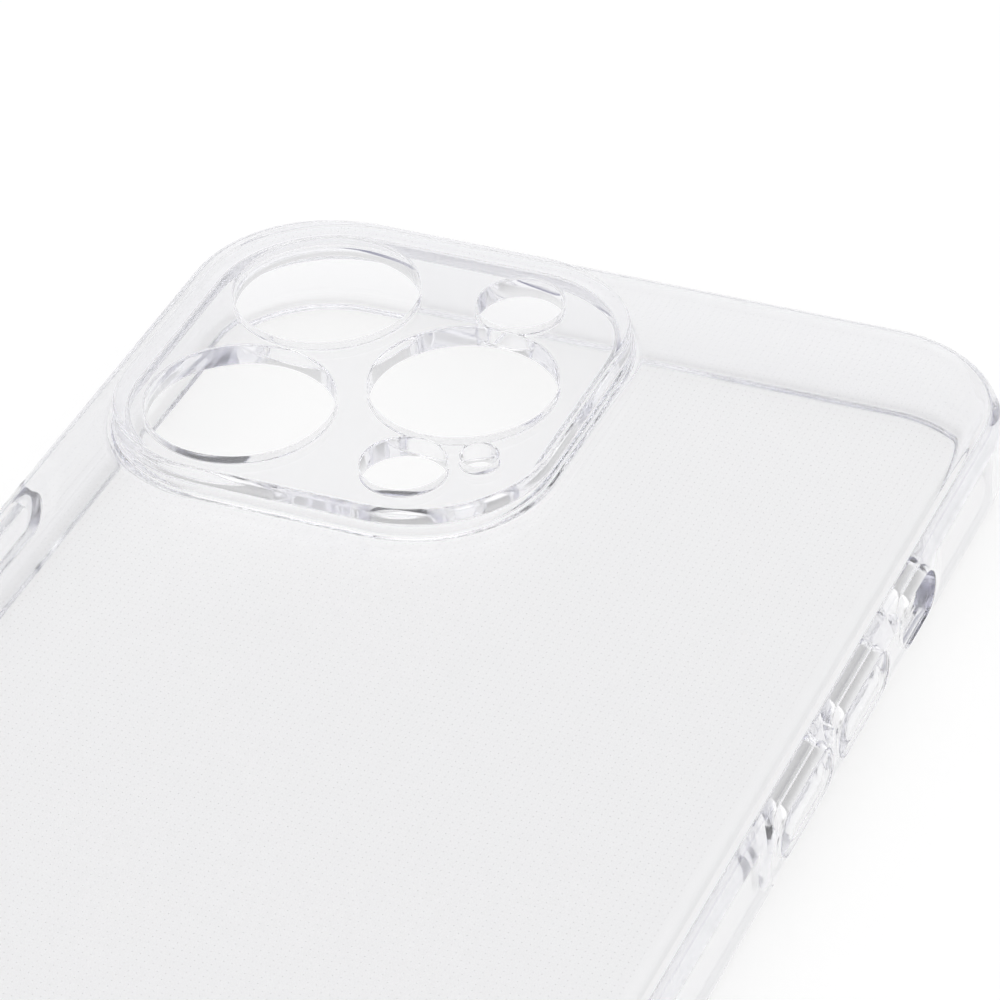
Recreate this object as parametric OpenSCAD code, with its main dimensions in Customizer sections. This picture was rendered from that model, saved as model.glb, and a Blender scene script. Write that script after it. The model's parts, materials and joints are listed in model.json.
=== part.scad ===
// Clear flexible phone case with a raised camera guard.
// It lies with its back up: +X is right and +Y is the top of the case, seen from the back.
// z = 0 is the plane that the front lip rests on, and the origin is the centre of that outline.

/* [Phone that the case holds] */
// Width of the phone
phone_w = 71.5; // [66:0.1:80]
// Height of the phone
phone_l = 146.7; // [140:0.1:165]
// Thickness of the phone's body
phone_t = 7.65; // [7:0.05:8.5]
// Room left round the phone on each side
phone_gap = 0.1; // [0:0.05:0.3]

/* [Shell] */
// Thickness of the side walls
wall_t = 1.2; // [1:0.1:2]
// Thickness of the back panel
panel_t = 1.0; // [0.8:0.1:1.6]
// Height of the lip in front of the screen
lip_t = 0.8; // [0.5:0.1:1.2]
// Width of the lip, from the outer face inwards
lip_w = 2.2; // [1.8:0.1:3]
// Radius of the case's corners in plan
corner_r = 12.3; // [10:0.1:16]
// Radius of the long edge between the side wall and the back
back_edge_r = 2.8; // [1:0.1:3]
// Radius of the edge between the side wall and the front lip
front_edge_r = 1.8; // [0.8:0.1:2]

/* [Camera guard] */
// Width of the guard, outside
guard_w = 38.7; // [37:0.1:42]
// Length of the guard, outside
guard_l = 38.9; // [37:0.1:42]
// Radius of the guard's corners in plan
guard_r = 11.6; // [10:0.1:13]
// Height of the guard above the back panel
guard_rise = 2.6; // [2.2:0.1:3.5]
// Thickness of the guard's top, which the lenses look through
guard_top_t = 2.0; // [1.5:0.1:2.1]
// Thickness of the guard's wall
guard_wall = 1.15; // [0.8:0.05:1.5]
// Radius of the hollow where the guard grows out of the back
guard_flare = 1.1; // [0.5:0.1:1.4]
// Radius of the guard's upper edge
guard_edge_r = 0.5; // [0.2:0.1:0.8]
// Distance from the left outer face to the guard's centre
guard_from_left = 23.2; // [23:0.1:25]
// Distance from the top outer face to the guard's centre
guard_from_top = 24.4; // [24:0.1:26]

/* [Camera openings] */
// Radius of the three lens openings
lens_r = 8.0; // [7.5:0.1:8.1]
// Distance between the two lens openings on the left
lens_pitch = 17.5; // [17:0.1:18]
// Distance across from the left openings to the right one
lens_across = 16.5; // [16.2:0.1:17]
// Radius of the flash opening
flash_r = 3.7; // [3:0.1:3.9]
// Radius of the depth sensor opening
sensor_r = 3.6; // [3:0.1:3.9]
// Distance of both small openings from the right lens opening
small_pitch = 12.4; // [12.2:0.1:12.6]
// Radius of the microphone opening
mic_r = 1.6; // [1:0.1:1.7]
// Position of the microphone opening from the right lens opening
mic_offset = [5.4, -9.25];

/* [Buttons and side openings] */
// Length of each volume button cover
volume_len = 11.4; // [9:0.1:11.5]
// Length of the power button cover
power_len = 17.2; // [12:0.1:18]
// Height of the covers, front to back
cover_h = 4.0; // [3:0.1:4.2]
// How far the covers stand out of the pad
cover_out = 0.25; // [0.1:0.05:0.4]
// How far a cover moves when it is pressed
cover_travel = 0.35; // [0.2:0.05:0.35]
// Width of the thin web round a cover
web_w = 0.5; // [0.4:0.05:0.6]
// Thickness of the web
web_t = 0.35; // [0.25:0.05:0.5]
// Clearance between a cover and its web
web_gap = 0.08; // [0.05:0.01:0.1]
// Distance from the top outer face to the centre of the mute switch opening
mute_from_top = 32.2; // [32:0.1:33]
// Distance from the top outer face to the centre of the volume up cover
volume_up_from_top = 45.3; // [45:0.1:45.4]
// Distance from the top outer face to the centre of the volume down cover
volume_down_from_top = 58.2; // [58:0.1:58.6]
// Distance from the top outer face to the centre of the power cover
power_from_top = 52.7; // [50:0.1:56]
// Length of the mute switch opening
mute_len = 7.8; // [7:0.1:8]
// Height of the mute switch opening
mute_h = 4.4; // [4.2:0.1:4.6]
// Height of the raised pad round the buttons, above the side wall
pad_out = 0.35; // [0.2:0.05:0.5]
// Length of the charging port opening
port_len = 13.0; // [11:0.1:14]
// Height of the charging port opening
port_h = 5.6; // [5:0.1:6]
// Length of the two speaker slots
speaker_len = 10.5; // [8:0.1:11]
// Height of the two speaker slots
speaker_h = 2.4; // [2:0.1:3]

/* [Hidden] */

$fn = 96;
clear_colour = [0.90, 0.92, 0.97, 0.45];
rim_colour = [0.84, 0.87, 0.95, 0.55];
cover_colour = [0.78, 0.82, 0.93, 0.65];

case_w = phone_w + 2 * (phone_gap + wall_t);
case_l = phone_l + 2 * (phone_gap + wall_t);
cavity_h = phone_t + 0.05;
panel_z = lip_t + cavity_h;
case_t = panel_z + panel_t;
rim_depth = back_edge_r + 0.2;
straight_w = case_w - 2 * corner_r;
straight_l = case_l - 2 * corner_r;
side_z = lip_t + phone_t / 2;

guard_centre = [guard_from_left - case_w / 2, case_l / 2 - guard_from_top];
guard_z = case_t + guard_rise;
lens_group = guard_centre + [0.15, -0.4];
left_lens_x = lens_group[0] - lens_across / 2;
right_lens_x = lens_group[0] + lens_across / 2;
pocket_overlap = 0.3;

pad_h = cover_h + 2 * web_w + 0.2;
pad_sink = 0.4;
pad_end = 3.2;
web_face = case_w / 2 + pad_out;
cover_inner_x = case_w / 2 - 0.6;
nub_out = 0.25;
speaker_from_centre = port_len / 2 + 2.8 + speaker_len / 2;
through = 3;

// The place along the side of something measured down from the top outer face
function along(from_top) = case_l / 2 - from_top;

// --- Outlines in plan ---

module rounded_rect(w, l, r) {
    square([w - 2 * r, l], center = true);
    square([w, l - 2 * r], center = true);
    for (sx = [-1, 1], sy = [-1, 1])
        translate([sx * (w / 2 - r), sy * (l / 2 - r)]) circle(r);
}

// A slot with round ends, long along X
module slot_shape(len, h) {
    square([len - h, h], center = true);
    for (s = [-1, 1]) translate([s * (len - h) / 2, 0]) circle(h / 2);
}

// --- Cross-sections: x = 0 is the outer face and runs inwards, y is the height ---

// The waste outside a round edge whose corner is at the origin of a square quarter
module edge_waste(r) {
    difference() {
        translate([-1, -1]) square(r + 1);
        translate([r, r]) circle(r);
    }
}

module side_blank(depth) {
    difference() {
        square([depth, case_t]);
        edge_waste(front_edge_r);
        translate([0, case_t]) mirror([0, 1]) edge_waste(back_edge_r);
    }
}

module lip_section() {
    intersection() {
        side_blank(lip_w);
        square([lip_w, lip_t]);
    }
}

module wall_section() {
    difference() {
        side_blank(rim_depth);
        translate([-1, -1]) square([rim_depth + 2, lip_t + 1]);
        translate([wall_t, 0]) square([rim_depth, panel_z]);
    }
}

module guard_section() {
    difference() {
        translate([0, panel_z]) square([guard_wall, guard_z - panel_z]);
        translate([0, guard_z]) mirror([0, 1]) edge_waste(guard_edge_r);
    }
    difference() {
        translate([-guard_flare, case_t]) square([guard_flare + 0.2, guard_flare]);
        translate([-guard_flare, case_t + guard_flare]) circle(guard_flare);
    }
}

// --- Sweeps of a section round a rounded outline ---

// Straight stretch along the +X side of an outline w wide
module straight_side(w, len) {
    translate([w / 2, 0, 0]) rotate([90, 0, 0])
        linear_extrude(height = len, center = true) mirror([1, 0]) children();
}

// Quarter turn round the +X +Y corner of an outline w by l with corner radius r
module corner_sweep(w, l, r) {
    translate([w / 2 - r, l / 2 - r, 0])
        rotate_extrude(angle = 90) translate([r, 0]) mirror([1, 0]) children();
}

module sweep_round(w, l, r) {
    for (turn = [0, 180]) rotate([0, 0, turn]) {
        straight_side(w, l - 2 * r) children();
        rotate([0, 0, 90]) straight_side(l, w - 2 * r) children();
        corner_sweep(w, l, r) children();
        rotate([0, 0, 90]) corner_sweep(l, w, r) children();
    }
}

// --- Blocks with a slot-shaped outline, pushed through a wall ---

// On the right or left side, long along Y, between two distances from the middle
module side_slot(len, h, x0, x1, y) {
    translate([x0, y, side_z]) rotate([90, 0, 90])
        linear_extrude(height = x1 - x0) slot_shape(len, h);
}

// In the bottom wall, long along X
module end_slot(len, h, x) {
    translate([x, -case_l / 2 + through, side_z]) rotate([90, 0, 0])
        linear_extrude(height = 2 * through) slot_shape(len, h);
}

// The raised pad, from one distance down the side to another
module side_pad(from_top, to_top) {
    side_slot(to_top - from_top, pad_h, case_w / 2 - pad_sink, web_face,
              along((from_top + to_top) / 2));
}

module cover_window(len, from_top) {
    side_slot(len + 2 * web_w, cover_h + 2 * web_w, case_w / 2 - through,
              case_w / 2 + through, along(from_top));
}

// A press cover: the outer key and the nub behind it that meets the phone's button
module cover(len, from_top) {
    side_slot(len, cover_h, cover_inner_x, web_face + cover_out, along(from_top));
    side_slot(len - 3, cover_h - 1.6, cover_inner_x - nub_out, cover_inner_x + 0.1,
              along(from_top));
}

// The thin ring that lets a cover move
module cover_web(len, from_top) {
    difference() {
        side_slot(len + 2 * web_w, cover_h + 2 * web_w, web_face - web_t, web_face,
                  along(from_top));
        side_slot(len + 2 * web_gap, cover_h + 2 * web_gap, web_face - web_t - 1,
                  web_face + 1, along(from_top));
    }
}

// --- Shell ---

module panel_outline() {
    rounded_rect(case_w - 2 * rim_depth, case_l - 2 * rim_depth, corner_r - rim_depth);
}

// The guard's outline, a given distance inside its outer face
module guard_outline(inset) {
    translate(guard_centre)
        rounded_rect(guard_w - 2 * inset, guard_l - 2 * inset, guard_r - inset);
}

module back_panel() {
    color(clear_colour) translate([0, 0, panel_z]) linear_extrude(height = panel_t)
        difference() {
            panel_outline();
            guard_outline(-guard_flare);
        }
}

// The part of the panel's thickness that the guard grows out of
module guard_foot(inset) {
    translate([0, 0, panel_z]) linear_extrude(height = panel_t)
        difference() {
            intersection() {
                panel_outline();
                guard_outline(-guard_flare);
            }
            guard_outline(inset);
        }
}

module camera_guard() {
    inset = guard_wall - pocket_overlap;
    color(rim_colour) {
        translate(guard_centre) sweep_round(guard_w, guard_l, guard_r) guard_section();
        guard_foot(inset);
        difference() {
            translate([0, 0, guard_z - guard_top_t])
                linear_extrude(height = guard_top_t) guard_outline(inset);
            camera_openings();
        }
    }
}

module camera_opening(x, y, r) {
    translate([x, y, guard_z - guard_top_t - 1]) cylinder(h = guard_top_t + 2, r = r);
}

module camera_openings() {
    for (s = [-1, 1]) {
        camera_opening(left_lens_x, lens_group[1] + s * lens_pitch / 2, lens_r);
        camera_opening(right_lens_x, lens_group[1] + s * small_pitch,
                       s > 0 ? flash_r : sensor_r);
    }
    camera_opening(right_lens_x, lens_group[1], lens_r);
    camera_opening(right_lens_x + mic_offset[0], lens_group[1] + mic_offset[1], mic_r);
}

module front_lip() {
    color(rim_colour) sweep_round(case_w, case_l, corner_r) lip_section();
}

module top_wall() {
    color(rim_colour) rotate([0, 0, 90]) straight_side(case_l, straight_w) wall_section();
}

module bottom_wall() {
    color(rim_colour) difference() {
        rotate([0, 0, -90]) straight_side(case_l, straight_w) wall_section();
        end_slot(port_len, port_h, 0);
        for (s = [-1, 1]) end_slot(speaker_len, speaker_h, s * speaker_from_centre);
    }
}

module left_wall() {
    color(rim_colour) mirror([1, 0, 0]) difference() {
        union() {
            straight_side(case_w, straight_l) wall_section();
            side_pad(power_from_top - power_len / 2 - pad_end,
                     power_from_top + power_len / 2 + pad_end);
        }
        cover_window(power_len, power_from_top);
    }
}

module right_wall() {
    color(rim_colour) difference() {
        union() {
            straight_side(case_w, straight_l) wall_section();
            side_pad(mute_from_top - mute_len / 2 - pad_end / 2,
                     volume_down_from_top + volume_len / 2 + pad_end);
        }
        side_slot(mute_len, mute_h, case_w / 2 - through, case_w / 2 + through,
                  along(mute_from_top));
        cover_window(volume_len, volume_up_from_top);
        cover_window(volume_len, volume_down_from_top);
    }
}

module top_right_corner() {
    color(rim_colour) corner_sweep(case_w, case_l, corner_r) wall_section();
}

module top_left_corner() {
    color(rim_colour) rotate([0, 0, 90]) corner_sweep(case_l, case_w, corner_r) wall_section();
}

module bottom_left_corner() {
    color(rim_colour) rotate([0, 0, 180]) corner_sweep(case_w, case_l, corner_r) wall_section();
}

module bottom_right_corner() {
    color(rim_colour) rotate([0, 0, 270]) corner_sweep(case_l, case_w, corner_r) wall_section();
}

// --- Button covers and their webs ---

module power_button_cover() {
    color(cover_colour) mirror([1, 0, 0]) cover(power_len, power_from_top);
}

module power_button_web() {
    color(clear_colour) mirror([1, 0, 0]) cover_web(power_len, power_from_top);
}

module volume_up_cover() {
    color(cover_colour) cover(volume_len, volume_up_from_top);
}

module volume_up_web() {
    color(clear_colour) cover_web(volume_len, volume_up_from_top);
}

module volume_down_cover() {
    color(cover_colour) cover(volume_len, volume_down_from_top);
}

module volume_down_web() {
    color(clear_colour) cover_web(volume_len, volume_down_from_top);
}

back_panel();
camera_guard();
front_lip();
top_wall();
bottom_wall();
left_wall();
right_wall();
top_left_corner();
top_right_corner();
bottom_left_corner();
bottom_right_corner();
power_button_cover();
power_button_web();
volume_up_cover();
volume_up_web();
volume_down_cover();
volume_down_web();
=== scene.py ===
"""The looks of a clear flexible phone case with a raised camera guard, lying with its back up."""

import json
import math

import bmesh
import bpy
from mathutils import Matrix, Vector


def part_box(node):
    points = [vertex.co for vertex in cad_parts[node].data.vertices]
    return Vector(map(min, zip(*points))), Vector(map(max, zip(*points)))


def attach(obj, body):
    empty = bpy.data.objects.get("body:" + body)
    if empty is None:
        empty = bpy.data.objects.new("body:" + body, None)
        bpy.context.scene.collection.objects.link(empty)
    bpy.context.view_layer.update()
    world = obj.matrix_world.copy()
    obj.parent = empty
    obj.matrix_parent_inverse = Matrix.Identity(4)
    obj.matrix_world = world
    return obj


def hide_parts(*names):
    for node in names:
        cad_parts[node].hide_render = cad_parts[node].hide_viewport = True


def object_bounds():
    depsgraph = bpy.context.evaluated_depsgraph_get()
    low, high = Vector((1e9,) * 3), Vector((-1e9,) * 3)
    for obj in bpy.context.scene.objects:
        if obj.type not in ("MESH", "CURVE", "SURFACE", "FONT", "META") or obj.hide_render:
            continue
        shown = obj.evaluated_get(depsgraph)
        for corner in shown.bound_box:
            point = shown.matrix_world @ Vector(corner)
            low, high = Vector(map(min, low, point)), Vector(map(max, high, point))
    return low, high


MM = 0.001

# --- Camera: where the photograph was taken from ---
VIEW_AZIMUTH = 24.54
VIEW_ELEVATION = 36.10
VIEW_ROLL = -2.77
VIEW_TARGET = Vector((-2.89, 50.48, 0.0)) * MM
VIEW_DISTANCE = 444.59 * MM
SENSOR_WIDTH = 36.0
FOCAL_LENGTH = 188.87

# --- Shape of the moulding, in metres ---
WALL = 1.2 * MM
PANEL = 1.0 * MM
LIP_HEIGHT = 0.8 * MM
LIP_WIDTH = 2.2 * MM
CORNER_RADIUS = 12.3 * MM
BACK_EDGE = 2.8 * MM
FRONT_EDGE = 1.8 * MM
CAVITY_FILLET = 0.5 * MM
LIP_EDGE = 0.3 * MM
GUARD_RADIUS = 11.6 * MM
GUARD_TOP = 2.0 * MM
GUARD_WALL = 1.15 * MM
GUARD_FLARE = 1.1 * MM
FLARE_CLEARANCE = 0.08 * MM
GUARD_EDGE = 0.5 * MM
POCKET_FILLET = 0.3 * MM
HOLE_EDGE = 0.18 * MM
SUPPORT = 0.3 * MM
SUPPORT_SHARE = 0.4
NO_NEIGHBOUR = 5 * MM
HOLE_SUPPORT = 0.09 * MM

# --- Buttons and side openings ---
PAD_OUT = 0.35 * MM
PAD_HEIGHT = 5.2 * MM
PAD_END = 3.2 * MM
PAD_SLOPE = 1.9 * MM
WEB_GAP = 0.08 * MM
CUT_EDGE = 0.12 * MM
KEY_INNER = 0.6 * MM
KEY_CROWN = (0.985, 0.96, 0.92, 0.86, 0.78, 0.68, 0.56, 0.42, 0.28, 0.14, 0.03)
NUB_SHORTER = 3.0 * MM
NUB_LOWER = 1.6 * MM
NUB_EDGE = 0.12 * MM
MUTE_LENGTH = 7.8 * MM
MUTE_HEIGHT = 4.4 * MM
PORT_LENGTH = 13.0 * MM
PORT_HEIGHT = 5.6 * MM
SPEAKER_LENGTH = 10.5 * MM
SPEAKER_HEIGHT = 2.4 * MM
SPEAKER_OFFSET = 2.8 * MM

# --- Micro-dots under the back panel ---
DOT_PITCH = 0.68 * MM
DOT_RADIUS = 0.04 * MM
DOT_HEIGHT = 0.004 * MM
DOT_GAP = 0.012 * MM
DOT_SIDES = 5
DOT_MARGIN = 1.0 * MM

# --- Fineness of the meshes ---
CORNER_STEPS = 28
FINE_STEP = 0.4 * MM
COARSE_STEP = 4.0 * MM
ARC_STEPS = 10
BACK_ARC_STEPS = 12
SMALL_ARC_STEPS = 5
FILLET_STEPS = 8
POCKET_ARC_STEPS = 6
HOLE_ARC_STEPS = 4
MOUTH_TURN = 18  # degrees between the rings of a cutter's mouth
OUTER_WALL_STEP = 0.32 * MM
INNER_WALL_STEP = 1.5 * MM
GUARD_WALL_STEP = 0.5 * MM
HOLE_SIDES = 128
END_STEPS = 20
SHARP_ANGLE = math.radians(35)

# Light that is caught inside a clear wall turns many times before it leaves
LIGHT_BOUNCES = 40

# Soft plastic is a little milky, so a small share of the light is scattered at its surface
CLARITY = 0.99
REFRACTION = 1.49
PLASTIC_TINT = (0.965, 0.965, 0.971)
DOT_TINT = (0.99, 0.99, 0.99)
# What the plastic does to light that goes a long way through it
EDGE_TINT = (0.88, 0.88, 1.0)
DOT_EDGE_TINT = (0.9, 0.9, 1.0)
EDGE_DENSITY = 14

# --- Studio ---
# Each band of the sky is (sine of its height above the horizon, brightness)
SKY_BANDS = ((0.12, 0.80), (0.36, 0.76), (0.50, 0.74), (0.66, 0.46), (0.80, 1.0))
SKY_STRENGTH = 1.15
HORIZON = (0.12, 0.12, 0.22)
# The floor is a backlit sheet: mostly its own glow, with a pale surface that still takes a shadow
FLOOR_GLOW = 0.76
FLOOR_TONE = (0.27, 0.29)
FLOOR_HALF_SIZE = 20.0
FLOOR_GAP = 0.02 * MM

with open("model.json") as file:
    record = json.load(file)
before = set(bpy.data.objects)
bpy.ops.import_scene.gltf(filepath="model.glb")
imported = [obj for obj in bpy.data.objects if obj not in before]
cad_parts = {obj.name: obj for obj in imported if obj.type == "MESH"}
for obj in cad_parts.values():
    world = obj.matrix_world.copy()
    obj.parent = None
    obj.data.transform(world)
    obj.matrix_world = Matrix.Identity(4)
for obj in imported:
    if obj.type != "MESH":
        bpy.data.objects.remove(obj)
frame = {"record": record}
cad_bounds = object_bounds()
record = frame["record"]


# --- What the CAD says ---


def mount(name):
    return next(m for m in record["mounts"] if m["name"] == name)


def opening_centre(name):
    low, high = next(o for o in record["physics"]["openings"] if o["name"] == name)["box_m"]
    return (Vector(low) + Vector(high)) / 2


def box_centre(node):
    low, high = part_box(node)
    return (low + high) / 2


def box_size(node):
    low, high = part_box(node)
    return high - low


HALF_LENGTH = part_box("top_wall")[1].y
HALF_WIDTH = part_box("top_right_corner")[1].x
BACK_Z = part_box("back_panel")[1].z
PANEL_Z = BACK_Z - PANEL
SIDE_Z = box_centre("volume_up_cover").z
GUARD_CENTRE = box_centre("camera_guard")
GUARD_HALF_W = box_size("camera_guard").x / 2 - GUARD_FLARE
GUARD_HALF_L = box_size("camera_guard").y / 2 - GUARD_FLARE
GUARD_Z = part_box("camera_guard")[1].z
PAD_FACE = HALF_WIDTH + PAD_OUT
KEYS = {
    "power_button": ("power_button_cover", "power_button_web", -1),
    "volume_up": ("volume_up_cover", "volume_up_web", 1),
    "volume_down": ("volume_down_cover", "volume_down_web", 1),
}
HOLE_MOUNTS = [m["name"] for m in record["mounts"] if m["kind"] == "bore"]


# --- Outlines in plan ---


def steps_between(start, end, step):
    count = max(1, math.ceil((end - start) / step - 1e-6))
    return [start + (end - start) * i / count for i in range(count)]


def stops(start, end, fine_ranges):
    """Places from start to end, close together inside the fine ranges."""
    edges = sorted({start, end, *[e for r in fine_ranges for e in r]})
    places = []
    for low, high in zip(edges, edges[1:]):
        middle = (low + high) / 2
        fine = any(a <= middle <= b for a, b in fine_ranges)
        places += steps_between(low, high, FINE_STEP if fine else COARSE_STEP)
    return places + [end]


class Outline:
    """A rounded rectangle as points on its inner skeleton, each with the direction outwards."""

    def __init__(self, centre, half_w, half_l, radius, xs=None, ys=None):
        self.centre, self.half_w, self.half_l, self.radius = centre, half_w, half_l, radius
        core_w, core_l = half_w - radius, half_l - radius
        xs = xs or stops(-core_w, core_w, [])
        ys = ys or stops(-core_l, core_l, [])
        sides = [
            [((core_w, y), (1, 0)) for y in ys],
            [((x, core_l), (0, 1)) for x in reversed(xs)],
            [((-core_w, y), (-1, 0)) for y in reversed(ys)],
            [((x, -core_l), (0, -1)) for x in xs],
        ]
        self.stations = []
        for turn, side in enumerate(sides):
            self.stations += side
            corner = side[-1][0]
            for step in range(1, CORNER_STEPS):
                angle = math.pi / 2 * (turn + step / CORNER_STEPS)
                self.stations.append((corner, (math.cos(angle), math.sin(angle))))

    def point(self, station, inset):
        (x, y), (nx, ny) = station
        reach = self.radius - inset
        return self.centre.x + x + nx * reach, self.centre.y + y + ny * reach

    def distance(self, x, y, inset=0.0):
        """How far a point is outside the outline; below zero is inside."""
        radius = self.radius - inset
        dx = abs(x - self.centre.x) - (self.half_w - inset) + radius
        dy = abs(y - self.centre.y) - (self.half_l - inset) + radius
        outside = math.hypot(max(dx, 0), max(dy, 0))
        return outside + min(max(dx, dy), 0) - radius


def pad_ranges(side):
    """The stretch of each raised pad along one side, as (low y, high y)."""
    if side < 0:
        low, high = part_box("power_button_cover")
        return low.y - PAD_END, high.y + PAD_END
    mute_y = opening_centre("mute_switch_opening").y
    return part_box("volume_down_cover")[0].y - PAD_END, mute_y + MUTE_LENGTH / 2 + PAD_END / 2


def pad_raise(side, y, z):
    """How far the outer face stands out at a place on a side wall."""
    low, high = pad_ranges(side)
    straight = (high - low - PAD_HEIGHT) / 2
    along = max(abs(y - (low + high) / 2) - straight, 0)
    outside = math.hypot(along, z - SIDE_Z) - PAD_HEIGHT / 2
    share = min(max(0.5 - outside / PAD_SLOPE, 0), 1)
    return PAD_OUT * share * share * (3 - 2 * share)


def case_outline():
    ys = stops(
        -(HALF_LENGTH - CORNER_RADIUS),
        HALF_LENGTH - CORNER_RADIUS,
        [tuple(e + s for e, s in zip(pad_ranges(side), (-MM, MM))) for side in (-1, 1)],
    )
    return Outline(Vector((0, 0)), HALF_WIDTH, HALF_LENGTH, CORNER_RADIUS, ys=ys)


# --- Sections: (inset from the outer face, height) ---


def arc(inset, z, radius, start, end, count=ARC_STEPS):
    """Points of an arc round (inset, z); angle 0 points inwards and 90 up."""
    angles = [math.radians(start + (end - start) * i / count) for i in range(count + 1)]
    return [(inset + radius * math.cos(a), z + radius * math.sin(a)) for a in angles]


def upright(inset, z0, z1, step):
    places = steps_between(min(z0, z1), max(z0, z1), step)[1:]
    return [(inset, z) for z in (places if z1 > z0 else reversed(places))]


def outer_section():
    """From the lip's inner edge round the outside to the top of the back."""
    return [
        *arc(LIP_WIDTH - LIP_EDGE, LIP_EDGE, LIP_EDGE, 0, -90, SMALL_ARC_STEPS),
        *arc(FRONT_EDGE, FRONT_EDGE, FRONT_EDGE, 270, 180),
        *upright(0, FRONT_EDGE, BACK_Z - BACK_EDGE, OUTER_WALL_STEP),
        *arc(BACK_EDGE, BACK_Z - BACK_EDGE, BACK_EDGE, 180, 90, BACK_ARC_STEPS),
    ]


def inner_section():
    """From the panel's underside down the cavity's wall to the lip's inner edge."""
    return [
        *arc(
            WALL + CAVITY_FILLET, PANEL_Z - CAVITY_FILLET, CAVITY_FILLET, 90, 180, FILLET_STEPS
        ),
        *upright(WALL, PANEL_Z - CAVITY_FILLET, LIP_HEIGHT + LIP_EDGE, INNER_WALL_STEP),
        *arc(WALL + LIP_EDGE, LIP_HEIGHT + LIP_EDGE, LIP_EDGE, 180, 270, SMALL_ARC_STEPS),
        *arc(LIP_WIDTH - LIP_EDGE, LIP_HEIGHT - LIP_EDGE, LIP_EDGE, 90, 0, SMALL_ARC_STEPS),
    ]


def guard_outer_section():
    flare = GUARD_FLARE - FLARE_CLEARANCE
    return [
        *arc(-flare, BACK_Z + flare, flare, -90, 0, FILLET_STEPS),
        *upright(0, BACK_Z + flare, GUARD_Z - GUARD_EDGE, GUARD_WALL_STEP),
        *arc(GUARD_EDGE, GUARD_Z - GUARD_EDGE, GUARD_EDGE, 180, 90, FILLET_STEPS),
    ]


def guard_inner_section():
    under = GUARD_Z - GUARD_TOP
    turn, count = POCKET_FILLET, POCKET_ARC_STEPS
    return [
        *arc(GUARD_WALL + turn, under - turn, turn, 90, 180, count),
        *arc(GUARD_WALL - turn, PANEL_Z + turn, turn, 0, -90, count),
    ]


# --- Mesh building ---


def ring_edges(ring):
    return list(zip(ring, ring[1:] + ring[:1]))


def bridge(bm, ring_a, ring_b):
    for (a, b), (c, d) in zip(ring_edges(ring_a), ring_edges(ring_b)):
        bm.faces.new((a, b, d, c))


def loft(bm, rings):
    for ring_a, ring_b in zip(rings, rings[1:]):
        bridge(bm, ring_a, ring_b)


def fill(bm, *rings):
    """A flat face between these rings, in triangles."""
    edges = []
    for ring in rings:
        for a, b in ring_edges(ring):
            edges.append(bm.edges.get((a, b)) or bm.edges.new((a, b)))
    bmesh.ops.triangle_fill(bm, use_beauty=True, use_dissolve=False, edges=edges)


def section_rings(bm, outline, section, raised=False):
    rings = []
    for inset, z in section:
        ring = []
        for station in outline.stations:
            side = station[1][0]
            out = pad_raise(side, station[0][1], z) if raised and abs(side) == 1 else 0
            ring.append(bm.verts.new((*outline.point(station, inset - out), z)))
        rings.append(ring)
    return rings


def support_ring(bm, outline, inset, z, other, other_inset, towards):
    """A ring just off an edge on a flat face, which keeps its shading flat without reaching a neighbour."""
    ring = []
    for station in outline.stations:
        x, y = outline.point(station, inset)
        room = abs(other.distance(x, y, other_inset))
        ring.append(
            bm.verts.new(
                (*outline.point(station, inset + towards * min(SUPPORT, room * SUPPORT_SHARE)), z)
            )
        )
    return ring


def circle_ring(bm, x, y, radius, z):
    return [
        bm.verts.new(
            (
                x + radius * math.cos(2 * math.pi * i / HOLE_SIDES),
                y + radius * math.sin(2 * math.pi * i / HOLE_SIDES),
                z,
            )
        )
        for i in range(HOLE_SIDES)
    ]


def hole_rings(bm, x, y, radius):
    """The wall of one camera opening, top to underside, with both edges softened."""
    top, under = GUARD_Z, GUARD_Z - GUARD_TOP
    upper = arc(radius + HOLE_EDGE, top - HOLE_EDGE, HOLE_EDGE, 90, 180, HOLE_ARC_STEPS)
    lower = arc(radius + HOLE_EDGE, under + HOLE_EDGE, HOLE_EDGE, 180, 270, HOLE_ARC_STEPS)
    path = [
        (radius + HOLE_EDGE + HOLE_SUPPORT, top),
        *upper,
        *lower,
        (radius + HOLE_EDGE + HOLE_SUPPORT, under),
    ]
    return [circle_ring(bm, x, y, r, z) for r, z in path]


def new_object(name, bm, material):
    bmesh.ops.recalc_face_normals(bm, faces=bm.faces)
    mesh = bpy.data.meshes.new(name)
    bm.to_mesh(mesh)
    bm.free()
    obj = bpy.data.objects.new(name, mesh)
    bpy.context.scene.collection.objects.link(obj)
    if material:
        mesh.materials.append(material)
    return obj


def smooth(obj):
    """Smooth shading that keeps real corners crisp and flat faces flat."""
    obj.data.shade_smooth()
    obj.data.set_sharp_from_angle(angle=SHARP_ANGLE)
    weighted = obj.modifiers.new("flat_faces_first", "WEIGHTED_NORMAL")
    weighted.mode = "FACE_AREA"
    weighted.keep_sharp = True


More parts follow.
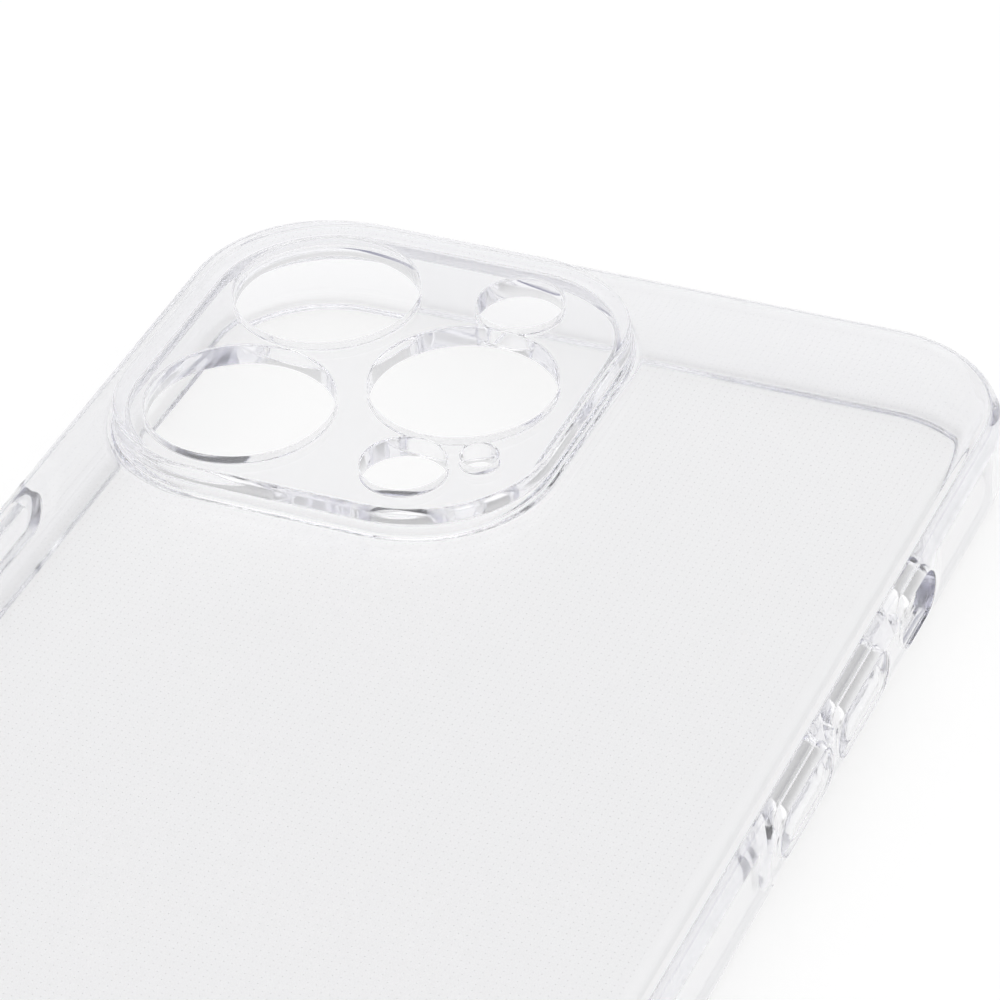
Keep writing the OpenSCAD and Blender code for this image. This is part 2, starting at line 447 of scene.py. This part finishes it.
def build_shell(material):
    bm = bmesh.new()
    case = case_outline()
    guard = Outline(GUARD_CENTRE, GUARD_HALF_W, GUARD_HALF_L, GUARD_RADIUS)

    inner = section_rings(bm, case, inner_section())
    outer = section_rings(bm, case, outer_section(), raised=True)
    loft(bm, inner + outer)

    flare = GUARD_FLARE - FLARE_CLEARANCE
    guard_outer = section_rings(bm, guard, guard_outer_section())
    back_edge = support_ring(bm, case, BACK_EDGE, BACK_Z, guard, -flare, 1)
    guard_foot = support_ring(bm, guard, -flare, BACK_Z, case, BACK_EDGE, -1)
    bridge(bm, outer[-1], back_edge)
    bridge(bm, guard_foot, guard_outer[0])
    loft(bm, guard_outer)
    fill(bm, back_edge, guard_foot)

    top_rim = support_ring(bm, guard, GUARD_EDGE, GUARD_Z, guard, NO_NEIGHBOUR, 1)
    bridge(bm, guard_outer[-1], top_rim)
    holes = []
    for name in HOLE_MOUNTS:
        x, y, _ = mount(name)["pos_m"]
        rings = hole_rings(bm, x, y, mount(name)["dims"]["r_mm"] * MM)
        loft(bm, rings)
        holes.append(rings)
    fill(bm, top_rim, *[rings[0] for rings in holes])

    pocket = section_rings(bm, guard, guard_inner_section())
    loft(bm, pocket)
    under_rim = support_ring(
        bm, guard, GUARD_WALL + POCKET_FILLET, GUARD_Z - GUARD_TOP, guard, NO_NEIGHBOUR, 1
    )
    bridge(bm, under_rim, pocket[0])
    fill(bm, under_rim, *[rings[-1] for rings in holes])

    pocket_mouth = support_ring(
        bm, guard, GUARD_WALL - POCKET_FILLET, PANEL_Z, case, WALL + CAVITY_FILLET, -1
    )
    panel_edge = support_ring(
        bm, case, WALL + CAVITY_FILLET, PANEL_Z, guard, GUARD_WALL - POCKET_FILLET, 1
    )
    bridge(bm, pocket[-1], pocket_mouth)
    bridge(bm, inner[0], panel_edge)
    fill(bm, panel_edge, pocket_mouth)
    return new_object("clear_moulding", bm, material)


# --- Slot-shaped cutters and keys, lofted along the direction they go through the wall ---


def slot_ring(bm, radius, straight, depth, place):
    ring = []
    for end in (1, -1):
        for i in range(END_STEPS + 1):
            angle = math.radians(-90 + 180 * i / END_STEPS)
            u = end * (straight + radius * math.cos(angle))
            v = end * radius * math.sin(angle)
            ring.append(bm.verts.new(place(depth, u, v)))
    return ring


def slot_loft(name, rows, place, material=None):
    """A closed solid through slot-shaped rings, each row a (depth, radius, half its straight length)."""
    bm = bmesh.new()
    rings = [slot_ring(bm, radius, straight, depth, place) for depth, radius, straight in rows]
    loft(bm, rings)
    fill(bm, rings[0])
    fill(bm, rings[-1])
    return new_object(name, bm, material)


def on_side(side, y):
    """Places a slot on a side wall: depth is measured outwards from the case's middle."""
    return lambda depth, u, v: (side * depth, y + u, SIDE_Z + v)


def on_bottom(x):
    return lambda depth, u, v: (x + u, -depth, SIDE_Z + v)


def rounded_mouth(face, radius, straight, outwards):
    """Rows that widen a cutter where it meets a face, so that the cut's edge is soft."""
    rows = [
        (face + outwards * z, radius + grow, straight)
        for grow, z in [
            (CUT_EDGE * (1 - math.cos(math.radians(a))), -CUT_EDGE * (1 - math.sin(math.radians(a))))
            for a in range(0, 91, MOUTH_TURN)
        ]
    ]
    rows.append((face + outwards * MM, radius + CUT_EDGE, straight))
    return rows if outwards > 0 else list(reversed(rows))


def through_cutter(name, length, height, place, inner_face, outer_face):
    radius, straight = height / 2, (length - height) / 2
    rows = [
        *rounded_mouth(inner_face, radius, straight, -1),
        *rounded_mouth(outer_face, radius, straight, 1),
    ]
    return slot_loft(name, rows, place)


def window_cutter(name, node, side):
    """The hole that a cover sits in, a hair wider than the cover all the way through the wall."""
    size, y = box_size(node), box_centre(node).y
    radius, straight = size.z / 2 + WEB_GAP, (size.y - size.z) / 2
    rows = [
        *rounded_mouth(HALF_WIDTH - WALL, radius, straight, -1),
        *rounded_mouth(PAD_FACE, radius, straight, 1),
    ]
    return slot_loft(name, rows, on_side(side, y))


def wall_cutters():
    cutters = [
        window_cutter("cut_" + body, cover, side) for body, (cover, _, side) in KEYS.items()
    ]
    mute = opening_centre("mute_switch_opening")
    cutters.append(
        through_cutter(
            "cut_mute", MUTE_LENGTH, MUTE_HEIGHT, on_side(1, mute.y), HALF_WIDTH - WALL, PAD_FACE
        )
    )
    port_x = opening_centre("charging_port_opening").x
    speaker_x = PORT_LENGTH / 2 + SPEAKER_OFFSET + SPEAKER_LENGTH / 2
    for name, x, length, height in (
        ("cut_port", port_x, PORT_LENGTH, PORT_HEIGHT),
        ("cut_speaker_left", port_x - speaker_x, SPEAKER_LENGTH, SPEAKER_HEIGHT),
        ("cut_speaker_right", port_x + speaker_x, SPEAKER_LENGTH, SPEAKER_HEIGHT),
    ):
        cutters.append(
            through_cutter(name, length, height, on_bottom(x), HALF_LENGTH - WALL, HALF_LENGTH)
        )
    return cutters


def cut(obj, cutters):
    """Takes the cutters out of obj, and leaves the result as its own mesh."""
    group = bpy.data.collections.new("cutters")
    for cutter in cutters:
        group.objects.link(cutter)
    taken = obj.modifiers.new("openings", "BOOLEAN")
    taken.operation = "DIFFERENCE"
    taken.solver = "MANIFOLD"
    taken.operand_type = "COLLECTION"
    taken.collection = group
    graph = bpy.context.evaluated_depsgraph_get()
    result = bpy.data.meshes.new_from_object(obj.evaluated_get(graph))
    obj.modifiers.clear()
    obj.data = result
    for cutter in cutters:
        bpy.data.objects.remove(cutter)
    bpy.data.collections.remove(group)


def build_key(name, node, side, material):
    """A press cover: a crowned key with a raised nub behind it that meets the phone's button."""
    low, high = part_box(node)
    size, y = high - low, (low.y + high.y) / 2
    face = max(abs(low.x), abs(high.x))
    nub_face = min(abs(low.x), abs(high.x))
    back = HALF_WIDTH - KEY_INNER
    radius, straight = size.z / 2, (size.y - size.z) / 2
    nub_radius = radius - NUB_LOWER / 2
    nub_straight = straight - (NUB_SHORTER - NUB_LOWER) / 2
    rim = PAD_FACE
    rows = [
        (nub_face, nub_radius - NUB_EDGE * 2, nub_straight),
        (nub_face + NUB_EDGE * 0.3, nub_radius - NUB_EDGE * 0.6, nub_straight),
        (nub_face + NUB_EDGE, nub_radius, nub_straight),
        (back - 0.02 * MM, nub_radius + 0.02 * MM, nub_straight),
        (back, nub_radius + 0.08 * MM, nub_straight),
        (back, radius - 0.2 * MM, straight),
        (back + 0.03 * MM, radius - 0.06 * MM, straight),
        (back + 0.1 * MM, radius, straight),
        (rim - CUT_EDGE, radius, straight),
    ]
    for share in KEY_CROWN:
        rise = (face - rim) * (1 - share * share) ** 1.5
        inset = CUT_EDGE * (1 - math.sqrt(1 - share**8))
        rows.append((rim - inset * 0.3 + rise, radius * share, straight))
    key = slot_loft(name, rows, on_side(side, y), material)
    smooth(key)
    return key


def build_dots(material):
    """The square grid of tiny low domes under the panel that stops it clinging to the phone."""
    case = case_outline()
    guard = Outline(GUARD_CENTRE, GUARD_HALF_W, GUARD_HALF_L, GUARD_RADIUS)
    top = PANEL_Z - DOT_GAP
    turns = [2 * math.pi * i / DOT_SIDES for i in range(DOT_SIDES)]
    verts, faces = [], []
    across = int(HALF_WIDTH / DOT_PITCH) + 1
    along = int(HALF_LENGTH / DOT_PITCH) + 1
    for i in range(-across, across + 1):
        for j in range(-along, along + 1):
            x, y = i * DOT_PITCH, j * DOT_PITCH
            if case.distance(x, y, WALL + CAVITY_FILLET) > -DOT_MARGIN:
                continue
            if guard.distance(x, y, GUARD_WALL) < DOT_MARGIN:
                continue
            first = len(verts)
            verts += [
                (x + DOT_RADIUS * math.cos(t), y + DOT_RADIUS * math.sin(t), top) for t in turns
            ]
            verts.append((x, y, top - DOT_HEIGHT))
            faces.append(tuple(first + k for k in range(DOT_SIDES)))
            faces += [
                (first + (k + 1) % DOT_SIDES, first + k, first + DOT_SIDES)
                for k in range(DOT_SIDES)
            ]
    mesh = bpy.data.meshes.new("grip_dots")
    mesh.from_pydata(verts, [], faces)
    mesh.materials.append(material)
    mesh.shade_smooth()
    obj = bpy.data.objects.new("grip_dots", mesh)
    bpy.context.scene.collection.objects.link(obj)
    return obj


# --- Materials ---


def clear_plastic(name, tint, edge_tint, roughness, wave_scale, wave_height):
    """Clear soft plastic: glassy, with the faint ripple of a moulding and a tint that shows in its edges."""
    material = bpy.data.materials.new(name)
    material.use_nodes = True
    nodes, links = material.node_tree.nodes, material.node_tree.links
    shader = nodes["Principled BSDF"]
    shader.inputs["Base Color"].default_value = (*tint, 1)
    shader.inputs["Transmission Weight"].default_value = CLARITY
    shader.inputs["IOR"].default_value = REFRACTION
    place = nodes.new("ShaderNodeTexCoord")
    ripple = nodes.new("ShaderNodeTexNoise")
    ripple.inputs["Scale"].default_value = wave_scale
    ripple.inputs["Detail"].default_value = 2.0
    links.new(place.outputs["Object"], ripple.inputs["Vector"])
    bump = nodes.new("ShaderNodeBump")
    bump.inputs["Strength"].default_value = 1.0
    bump.inputs["Distance"].default_value = wave_height
    links.new(ripple.outputs["Fac"], bump.inputs["Height"])
    links.new(bump.outputs["Normal"], shader.inputs["Normal"])
    grain = nodes.new("ShaderNodeTexNoise")
    grain.inputs["Scale"].default_value = wave_scale * 6
    links.new(place.outputs["Object"], grain.inputs["Vector"])
    polish = nodes.new("ShaderNodeMapRange")
    polish.inputs["From Min"].default_value = 0.3
    polish.inputs["From Max"].default_value = 0.7
    polish.inputs["To Min"].default_value = roughness * 0.6
    polish.inputs["To Max"].default_value = roughness * 1.4
    links.new(grain.outputs["Fac"], polish.inputs["Value"])
    links.new(polish.outputs["Result"], shader.inputs["Roughness"])
    inside = nodes.new("ShaderNodeVolumeAbsorption")
    inside.inputs["Color"].default_value = (*edge_tint, 1)
    inside.inputs["Density"].default_value = EDGE_DENSITY
    links.new(inside.outputs["Volume"], nodes["Material Output"].inputs["Volume"])
    return material


def floor_material():
    material = bpy.data.materials.new("studio_floor")
    material.use_nodes = True
    nodes, links = material.node_tree.nodes, material.node_tree.links
    shader = nodes["Principled BSDF"]
    place = nodes.new("ShaderNodeTexCoord")
    mottle = nodes.new("ShaderNodeTexNoise")
    mottle.inputs["Scale"].default_value = 3.0
    links.new(place.outputs["Object"], mottle.inputs["Vector"])
    tone = nodes.new("ShaderNodeMapRange")
    tone.inputs["To Min"].default_value = FLOOR_TONE[0]
    tone.inputs["To Max"].default_value = FLOOR_TONE[1]
    links.new(mottle.outputs["Fac"], tone.inputs["Value"])
    links.new(tone.outputs["Result"], shader.inputs["Base Color"])
    shader.inputs["Roughness"].default_value = 0.9
    shader.inputs["Specular IOR Level"].default_value = 0.0
    shader.inputs["Emission Color"].default_value = (1, 1, 1, 1)
    shader.inputs["Emission Strength"].default_value = FLOOR_GLOW
    return material


# --- Studio ---


def add_floor():
    bm = bmesh.new()
    bmesh.ops.create_grid(bm, x_segments=4, y_segments=4, size=FLOOR_HALF_SIZE)
    floor = new_object("studio_floor", bm, floor_material())
    floor.location.z = cad_bounds[0].z - FLOOR_GAP


def add_sky():
    """Soft light from overhead, a darker band at middling heights and a dusky lilac horizon."""
    world = bpy.data.worlds.new("soft_studio")
    bpy.context.scene.world = world
    world.use_nodes = True
    nodes, links = world.node_tree.nodes, world.node_tree.links
    place = nodes.new("ShaderNodeTexCoord")
    split = nodes.new("ShaderNodeSeparateXYZ")
    links.new(place.outputs["Generated"], split.inputs["Vector"])
    tone = nodes.new("ShaderNodeValToRGB")
    ramp = tone.color_ramp
    ramp.interpolation = "EASE"
    ramp.elements[0].position = 0.0
    ramp.elements[0].color = (*HORIZON, 1)
    ramp.elements[1].position = 1.0
    ramp.elements[1].color = (1, 1, 1, 1)
    for position, value in SKY_BANDS:
        element = ramp.elements.new(position)
        element.color = (value, value, value, 1)
    links.new(split.outputs["Z"], tone.inputs["Fac"])
    background = nodes["Background"]
    links.new(tone.outputs["Color"], background.inputs["Color"])
    background.inputs["Strength"].default_value = SKY_STRENGTH


def add_camera():
    az, el, roll = (math.radians(a) for a in (VIEW_AZIMUTH, VIEW_ELEVATION, VIEW_ROLL))
    back = Vector((math.sin(az) * math.cos(el), -math.cos(az) * math.cos(el), math.sin(el)))
    level = Vector((math.cos(az), math.sin(az), 0))
    up = back.cross(level)
    right = math.cos(roll) * level + math.sin(roll) * up
    above = -math.sin(roll) * level + math.cos(roll) * up
    data = bpy.data.cameras.new("camera")
    data.sensor_width = SENSOR_WIDTH
    data.lens = FOCAL_LENGTH
    data.clip_start = 0.01
    data.clip_end = 100
    camera = bpy.data.objects.new("camera", data)
    bpy.context.scene.collection.objects.link(camera)
    turn = Matrix((right, above, back)).transposed().to_4x4()
    camera.matrix_world = Matrix.Translation(VIEW_TARGET + back * VIEW_DISTANCE) @ turn
    bpy.context.scene.camera = camera


# --- The case ---

add_camera()
add_floor()
add_sky()
bpy.context.scene.view_settings.view_transform = "Standard"
bpy.context.scene.cycles.max_bounces = LIGHT_BOUNCES
bpy.context.scene.cycles.transmission_bounces = LIGHT_BOUNCES
bpy.context.scene.cycles.glossy_bounces = LIGHT_BOUNCES

shell_plastic = clear_plastic(
    "clear_plastic",
    PLASTIC_TINT,
    EDGE_TINT,
    roughness=0.045,
    wave_scale=40,
    wave_height=0.01 * MM,
)
key_plastic = clear_plastic(
    "key_plastic",
    PLASTIC_TINT,
    EDGE_TINT,
    roughness=0.06,
    wave_scale=60,
    wave_height=0.01 * MM,
)
dot_plastic = clear_plastic(
    "dot_plastic",
    DOT_TINT,
    DOT_EDGE_TINT,
    roughness=0.05,
    wave_scale=200,
    wave_height=0.001 * MM,
)

moulding = build_shell(shell_plastic)
cut(moulding, wall_cutters())
smooth(moulding)
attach(moulding, "case")
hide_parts(*record["behaviour"]["bodies"]["case"])

dots = build_dots(dot_plastic)
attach(dots, "case")

for body, (cover, _, side) in KEYS.items():
    key = build_key(body + "_key", cover, side, key_plastic)
    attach(key, body)
    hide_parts(cover)
